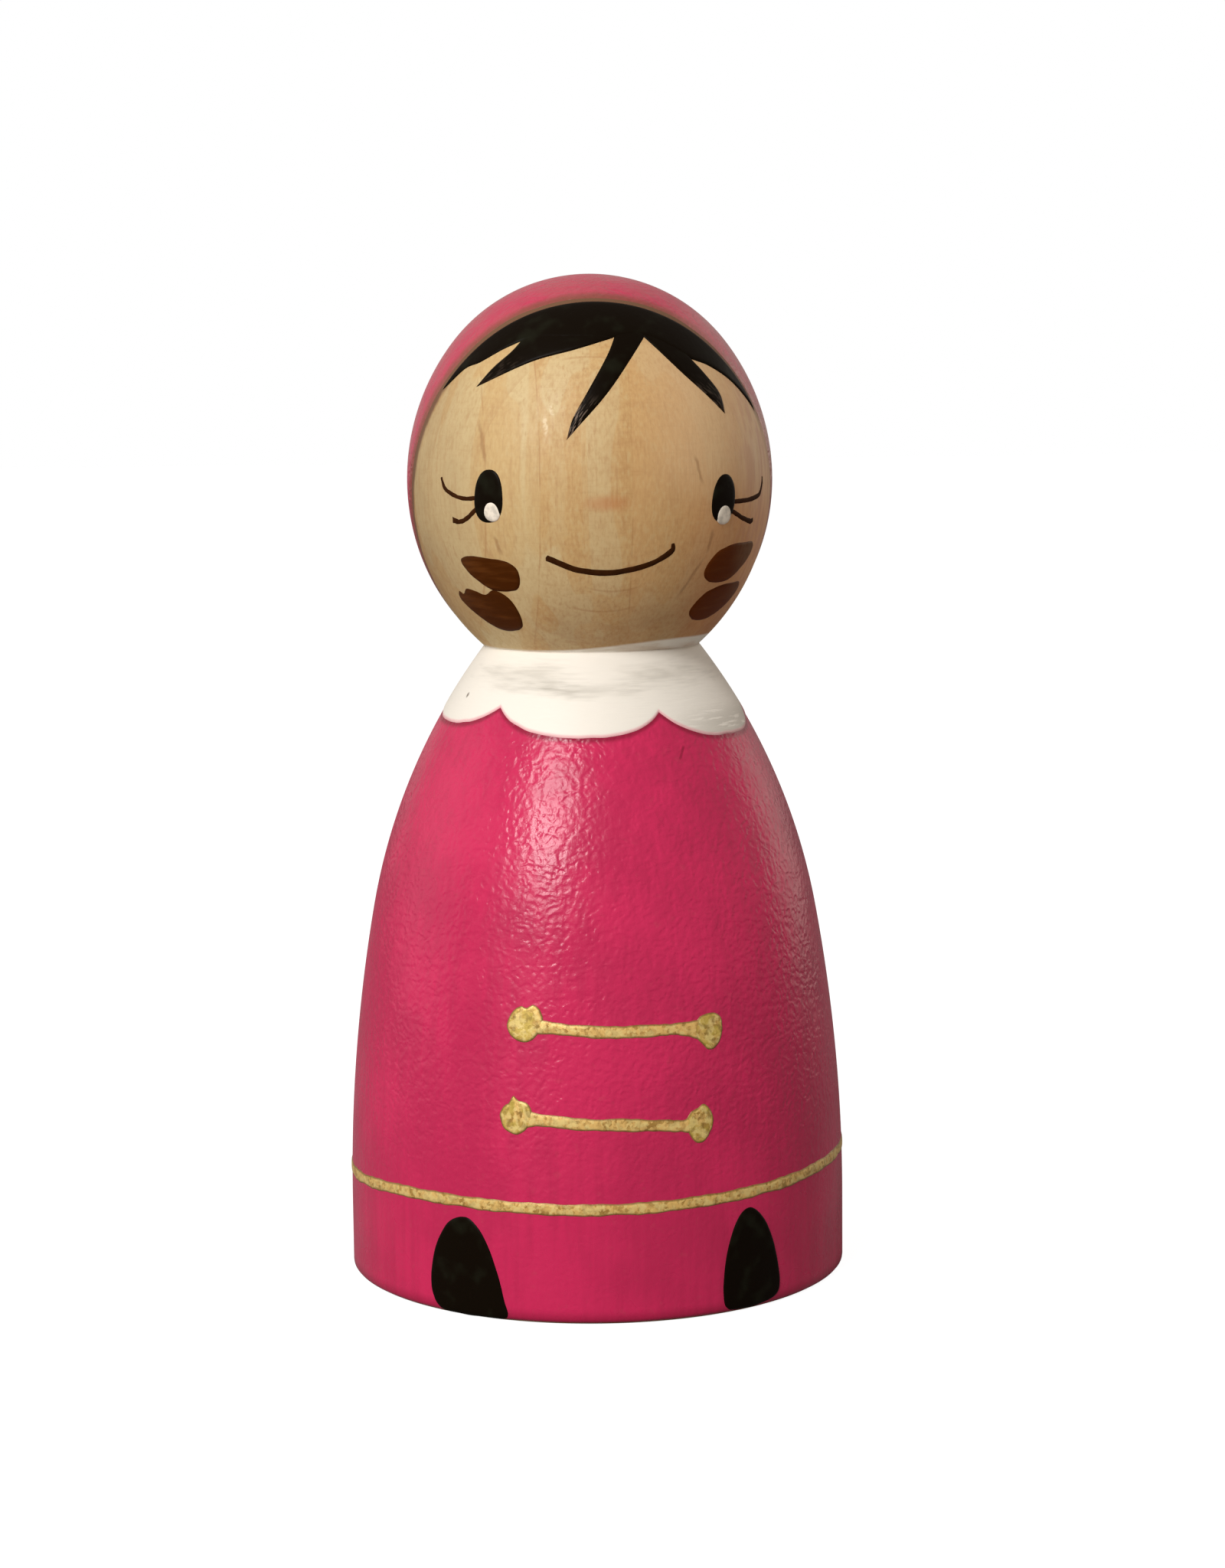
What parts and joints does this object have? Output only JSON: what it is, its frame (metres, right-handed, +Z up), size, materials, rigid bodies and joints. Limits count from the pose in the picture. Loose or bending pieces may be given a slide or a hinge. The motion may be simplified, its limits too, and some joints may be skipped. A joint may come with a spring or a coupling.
{
  "type": "peg doll",
  "caption": "Turned wooden peg doll with a round head, painted in a pink hooded coat with a scalloped white collar, gold toggles and hem, black hair and black boots.",
  "frame": {"origin": "middle of the flat base the doll stands on", "axes": "+Z up the turning axis to the crown, the painted face looks towards -Y, +X to the viewer's right"},
  "size_m": [0.0404, 0.0404, 0.0802],
  "materials": {
    "bare_wood": "varnished, fine grained pale hardwood",
    "pink_paint": "brushed satin paint over wood",
    "white_paint": "thin hand brushed white paint",
    "black_paint": "satin black paint",
    "brown_ink": "fine pen line",
    "brown_wash": "dark translucent brown paint with brush streaks",
    "gold_paint": "flaky gold paint"
  },
  "bodies": {
    "root": {"turned_peg": "bare_wood", "coat": "pink_paint", "collar": "white_paint", "hood": "pink_paint", "hair": "black_paint", "left_eye": "black_paint", "right_eye": "black_paint", "left_glint": "white_paint", "right_glint": "white_paint", "left_upper_lash": "brown_ink", "left_lower_lash": "brown_ink", "right_upper_lash": "brown_ink", "right_lower_lash": "brown_ink", "smile": "brown_ink", "left_upper_mark": "brown_wash", "left_lower_mark": "brown_wash", "right_upper_mark": "brown_wash", "right_lower_mark": "brown_wash", "upper_toggle": "gold_paint", "lower_toggle": "gold_paint", "hem_line": "gold_paint", "left_boot": "black_paint", "right_boot": "black_paint"}
  },
  "joints": []
}
